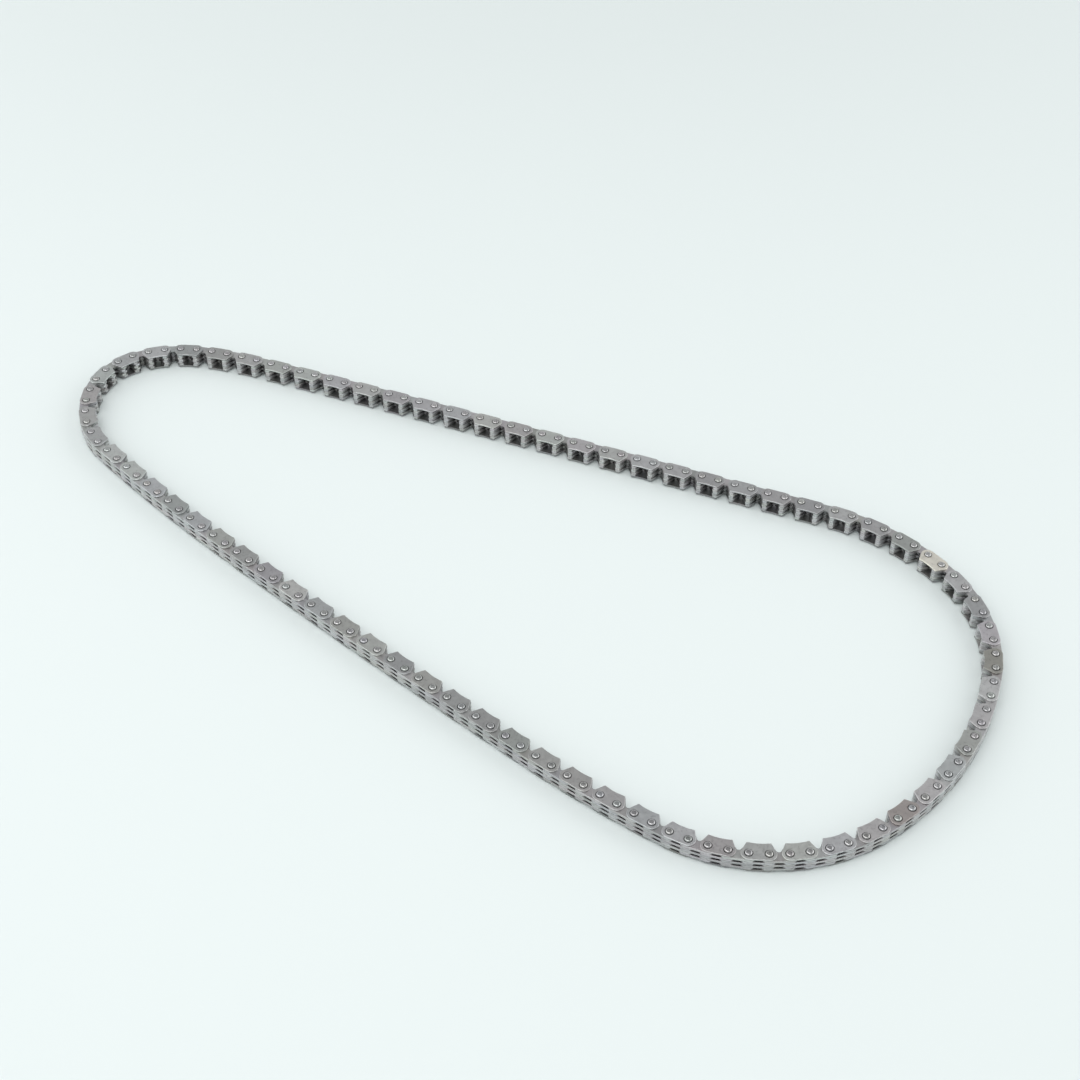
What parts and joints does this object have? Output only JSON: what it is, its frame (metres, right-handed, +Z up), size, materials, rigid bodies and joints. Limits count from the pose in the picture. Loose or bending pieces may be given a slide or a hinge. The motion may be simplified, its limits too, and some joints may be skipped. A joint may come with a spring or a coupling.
{
  "type": "timing chain",
  "caption": "Closed inverted tooth timing chain of laced steel tooth plates, guide plates and riveted pins, lying on its side as a slack loop, with one coloured timing mark plate.",
  "frame": {"origin": "under the middle of the loop, in the plane of the lower pin ends that it lies on", "axes": "+X along the long way of the loop, towards its wider, right hand end; +Y across the loop from the near run to the far run; +Z up, along the pins"},
  "size_m": [0.3358, 0.2436, 0.007],
  "materials": {
    "pin_steel": "hard polished steel pins with riveted, slightly rounded heads",
    "guide_steel": "stamped and tumbled plain steel, satin grey",
    "tooth_steel": "stamped hardened steel, satin grey with fine shear marks on the edges",
    "mark_coating": "pale brass coloured satin coating of the timing mark"
  },
  "bodies": {
    "section_01": {"pins_01": "pin_steel", "guide_plates_01": "guide_steel", "tooth_plates_01": "tooth_steel"},
    "section_02": {"pins_02": "pin_steel", "guide_plates_02": "guide_steel", "tooth_plates_02": "tooth_steel"},
    "section_03": {"pins_03": "pin_steel", "guide_plates_03": "guide_steel", "tooth_plates_03": "tooth_steel"},
    "section_04": {"pins_04": "pin_steel", "guide_plates_04": "guide_steel", "tooth_plates_04": "tooth_steel"},
    "section_05": {"pins_05": "pin_steel", "guide_plates_05": "guide_steel", "tooth_plates_05": "tooth_steel"},
    "section_06": {"pins_06": "pin_steel", "guide_plates_06": "guide_steel", "tooth_plates_06": "tooth_steel", "timing_mark_plate": "mark_coating"},
    "section_07": {"pins_07": "pin_steel", "guide_plates_07": "guide_steel", "tooth_plates_07": "tooth_steel"},
    "section_08": {"pins_08": "pin_steel", "guide_plates_08": "guide_steel", "tooth_plates_08": "tooth_steel"},
    "section_09": {"pins_09": "pin_steel", "guide_plates_09": "guide_steel", "tooth_plates_09": "tooth_steel"},
    "section_10": {"pins_10": "pin_steel", "guide_plates_10": "guide_steel", "tooth_plates_10": "tooth_steel"},
    "section_11": {"pins_11": "pin_steel", "guide_plates_11": "guide_steel", "tooth_plates_11": "tooth_steel"},
    "section_12": {"pins_12": "pin_steel", "guide_plates_12": "guide_steel", "tooth_plates_12": "tooth_steel"},
    "section_13": {"pins_13": "pin_steel", "guide_plates_13": "guide_steel", "tooth_plates_13": "tooth_steel"},
    "section_14": {"pins_14": "pin_steel", "guide_plates_14": "guide_steel", "tooth_plates_14": "tooth_steel"},
    "section_15": {"pins_15": "pin_steel", "guide_plates_15": "guide_steel", "tooth_plates_15": "tooth_steel"},
    "section_16": {"pins_16": "pin_steel", "guide_plates_16": "guide_steel", "tooth_plates_16": "tooth_steel"},
    "section_17": {"pins_17": "pin_steel", "guide_plates_17": "guide_steel", "tooth_plates_17": "tooth_steel"}
  },
  "joints": [
    {"name": "hinge_08_09", "type": "hinge", "parent": "section_08", "child": "section_09", "pos_m": [0.13744, -0.09257, 0.0035], "axis": [0, 0, -1], "range_deg": [-7.9, 7.9]},
    {"name": "hinge_09_10", "type": "hinge", "parent": "section_09", "child": "section_10", "pos_m": [0.09467, -0.11829, 0.0035], "axis": [0, 0, -1], "range_deg": [-4.9, 4.9]},
    {"name": "hinge_10_11", "type": "hinge", "parent": "section_10", "child": "section_11", "pos_m": [0.0462, -0.10804, 0.0035], "axis": [0, 0, -1], "range_deg": [-1.6, 1.6]},
    {"name": "hinge_11_12", "type": "hinge", "parent": "section_11", "child": "section_12", "pos_m": [0.00493, -0.07848, 0.0035], "axis": [0, 0, -1], "range_deg": [-6.3, 6.3]},
    {"name": "hinge_12_13", "type": "hinge", "parent": "section_12", "child": "section_13", "pos_m": [-0.03442, -0.04635, 0.0035], "axis": [0, 0, -1], "range_deg": [-10.4, 10.4]},
    {"name": "hinge_13_14", "type": "hinge", "parent": "section_13", "child": "section_14", "pos_m": [-0.07328, -0.01363, 0.0035], "axis": [0, 0, -1], "range_deg": [-6.9, 6.9]},
    {"name": "hinge_14_15", "type": "hinge", "parent": "section_14", "child": "section_15", "pos_m": [-0.11153, 0.0198, 0.0035], "axis": [0, 0, -1], "range_deg": [-1, 1]},
    {"name": "hinge_15_16", "type": "hinge", "parent": "section_15", "child": "section_16", "pos_m": [-0.1481, 0.05504, 0.0035], "axis": [0, 0, -1], "range_deg": [-7.7, 7.7]},
    {"name": "hinge_08_07", "type": "hinge", "parent": "section_08", "child": "section_07", "pos_m": [0.16256, -0.04891, 0.0035], "axis": [0, 0, -1], "range_deg": [-9, 9]},
    {"name": "hinge_07_06", "type": "hinge", "parent": "section_07", "child": "section_06", "pos_m": [0.1565, -0.00011, 0.0035], "axis": [0, 0, -1], "range_deg": [-3.6, 3.6]},
    {"name": "hinge_06_05", "type": "hinge", "parent": "section_06", "child": "section_05", "pos_m": [0.11784, 0.0317, 0.0035], "axis": [0, 0, -1], "range_deg": [-3.2, 3.2]},
    {"name": "hinge_05_04", "type": "hinge", "parent": "section_05", "child": "section_04", "pos_m": [0.07021, 0.04936, 0.0035], "axis": [0, 0, -1], "range_deg": [-6.3, 6.3]},
    {"name": "hinge_04_03", "type": "hinge", "parent": "section_04", "child": "section_03", "pos_m": [0.0226, 0.06708, 0.0035], "axis": [0, 0, -1], "range_deg": [-8.2, 8.2]},
    {"name": "hinge_03_02", "type": "hinge", "parent": "section_03", "child": "section_02", "pos_m": [-0.02505, 0.0847, 0.0035], "axis": [0, 0, -1], "range_deg": [-7.2, 7.2]},
    {"name": "hinge_02_01", "type": "hinge", "parent": "section_02", "child": "section_01", "pos_m": [-0.07276, 0.10215, 0.0035], "axis": [0, 0, -1], "range_deg": [-0.9, 0.9]},
    {"name": "hinge_01_17", "type": "hinge", "parent": "section_01", "child": "section_17", "pos_m": [-0.12099, 0.11795, 0.0035], "axis": [0, 0, -1], "range_deg": [-6.4, 6.4]}
  ],
  "couplings": [
    {"joint": "hinge_09_10", "follows": "hinge_08_09", "ratio": 0.58715},
    {"joint": "hinge_10_11", "follows": "hinge_08_09", "ratio": -0.16991},
    {"joint": "hinge_11_12", "follows": "hinge_08_09", "ratio": -0.75879},
    {"joint": "hinge_12_13", "follows": "hinge_08_09", "ratio": -1.2738},
    {"joint": "hinge_13_14", "follows": "hinge_08_09", "ratio": -0.83878},
    {"joint": "hinge_14_15", "follows": "hinge_08_09", "ratio": 0.085037},
    {"joint": "hinge_15_16", "follows": "hinge_08_09", "ratio": 0.93611},
    {"joint": "hinge_08_07", "follows": "hinge_08_09", "ratio": -1.1054},
    {"joint": "hinge_07_06", "follows": "hinge_08_09", "ratio": -0.41413},
    {"joint": "hinge_06_05", "follows": "hinge_08_09", "ratio": 0.3617},
    {"joint": "hinge_05_04", "follows": "hinge_08_09", "ratio": 0.75333},
    {"joint": "hinge_04_03", "follows": "hinge_08_09", "ratio": 1.0057},
    {"joint": "hinge_03_02", "follows": "hinge_08_09", "ratio": 0.87102},
    {"joint": "hinge_02_01", "follows": "hinge_08_09", "ratio": 0.081494},
    {"joint": "hinge_01_17", "follows": "hinge_08_09", "ratio": -0.7663}
  ]
}
